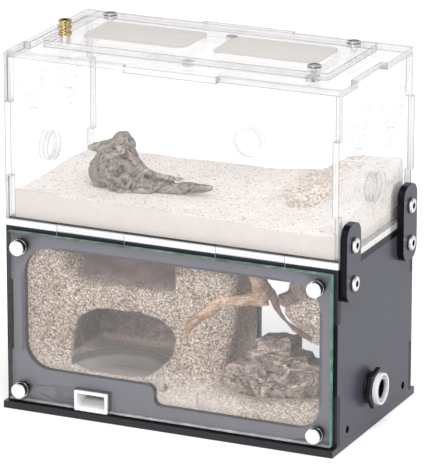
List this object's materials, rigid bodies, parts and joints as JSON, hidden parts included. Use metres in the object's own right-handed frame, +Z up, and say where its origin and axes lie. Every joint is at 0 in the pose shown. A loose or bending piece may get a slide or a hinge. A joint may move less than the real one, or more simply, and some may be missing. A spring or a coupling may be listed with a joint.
{
  "type": "ant habitat",
  "caption": "Two-storey ant habitat: black nest with glass front, sand caves, rocks and water inlet under a clear vented arena with mesh lid and side brackets.",
  "frame": {"origin": "middle of the base plate's underside", "axes": "+Z up, front faces -Y, tube port and brackets on the +X side"},
  "size_m": [0.1574, 0.091, 0.1659],
  "materials": {
    "black_acrylic": "polished cast acrylic",
    "clear_acrylic": "clear cast acrylic, laser cut",
    "front_glass": "clear pane with green edges",
    "chrome": "polished",
    "brass": "polished",
    "rubber": "matt",
    "white_plastic": "matt white",
    "black_plastic": "satin black",
    "pale_plastic": "pale grey",
    "steel_mesh": "fine woven wire",
    "nest_sand": "bonded sand and loam",
    "arena_sand": "loose fine sand",
    "plaster": "smooth plaster",
    "rock": "layered rock",
    "driftwood": "weathered grey",
    "tan_wood": "bare pale twig",
    "dark_wood": "dark twig"
  },
  "bodies": {
    "habitat": {"arena_back_panel": "clear_acrylic", "arena_floor": "clear_acrylic", "arena_front_panel": "clear_acrylic", "arena_left_panel": "clear_acrylic", "arena_right_panel": "clear_acrylic", "arena_roof": "clear_acrylic", "arena_sand": "arena_sand", "base_plate": "black_acrylic", "basin": "plaster", "bracket_front": "black_acrylic", "bracket_rear": "black_acrylic", "bracket_screws": "chrome", "dark_twig": "dark_wood", "driftwood": "driftwood", "glass_knob_inserts": "brass", "nest_back_panel": "black_acrylic", "nest_front_frame": "black_acrylic", "nest_left_panel": "black_acrylic", "nest_right_panel": "black_acrylic", "nest_top_plate": "black_acrylic", "port_nut": "black_plastic", "port_rim": "pale_plastic", "port_tube": "black_plastic", "port_washer": "rubber", "rear_window_pane": "clear_acrylic", "rock_lower": "rock", "rock_middle": "rock", "rock_upper": "rock", "roof_magnets": "chrome", "root_overhang": "dark_wood", "sand_block": "nest_sand", "sand_floor": "nest_sand", "sand_wall_right": "nest_sand", "tan_twig": "tan_wood", "water_inlet": "white_plastic"},
    "front_glass": {"front_glass": "front_glass", "glass_knob_washers": "rubber"},
    "lid": {"lid_plate": "clear_acrylic", "lid_mesh_left": "steel_mesh", "lid_mesh_right": "steel_mesh", "lid_handle": "brass", "lid_stud_back_left": "chrome", "lid_stud_front_right": "chrome", "lid_stud_back_right": "chrome"},
    "glass_knob_bottom_left": {"glass_knob_bottom_left": "chrome"},
    "glass_knob_top_left": {"glass_knob_top_left": "chrome"},
    "glass_knob_bottom_right": {"glass_knob_bottom_right": "chrome"},
    "glass_knob_top_right": {"glass_knob_top_right": "chrome"},
    "port_plug_left": {"port_plug_left": "clear_acrylic"},
    "port_plug_right": {"port_plug_right": "clear_acrylic"},
    "port_plug_back": {"port_plug_back": "clear_acrylic"}
  },
  "joints": [
    {"name": "lid_lift", "type": "slide", "parent": "habitat", "child": "lid", "axis": [0, 0, 1], "range_m": [0, 0.03]},
    {"name": "front_glass_pull", "type": "slide", "parent": "habitat", "child": "front_glass", "axis": [0, -1, 0], "range_m": [0, 0.03]},
    {"name": "glass_knob_bottom_left_turn", "type": "hinge", "parent": "front_glass", "child": "glass_knob_bottom_left", "pos_m": [-0.067, -0.043, 0.0089], "axis": [0, -1, 0], "continuous": true},
    {"name": "glass_knob_top_left_turn", "type": "hinge", "parent": "front_glass", "child": "glass_knob_top_left", "pos_m": [-0.067, -0.043, 0.0715], "axis": [0, -1, 0], "continuous": true},
    {"name": "glass_knob_bottom_right_turn", "type": "hinge", "parent": "front_glass", "child": "glass_knob_bottom_right", "pos_m": [0.067, -0.043, 0.0089], "axis": [0, -1, 0], "continuous": true},
    {"name": "glass_knob_top_right_turn", "type": "hinge", "parent": "front_glass", "child": "glass_knob_top_right", "pos_m": [0.067, -0.043, 0.0715], "axis": [0, -1, 0], "continuous": true},
    {"name": "port_plug_left_pull", "type": "slide", "parent": "habitat", "child": "port_plug_left", "axis": [-1, 0, 0], "range_m": [0, 0.015]},
    {"name": "port_plug_right_pull", "type": "slide", "parent": "habitat", "child": "port_plug_right", "axis": [1, 0, 0], "range_m": [0, 0.015]},
    {"name": "port_plug_back_pull", "type": "slide", "parent": "habitat", "child": "port_plug_back", "axis": [0, 1, 0], "range_m": [0, 0.015]}
  ]
}
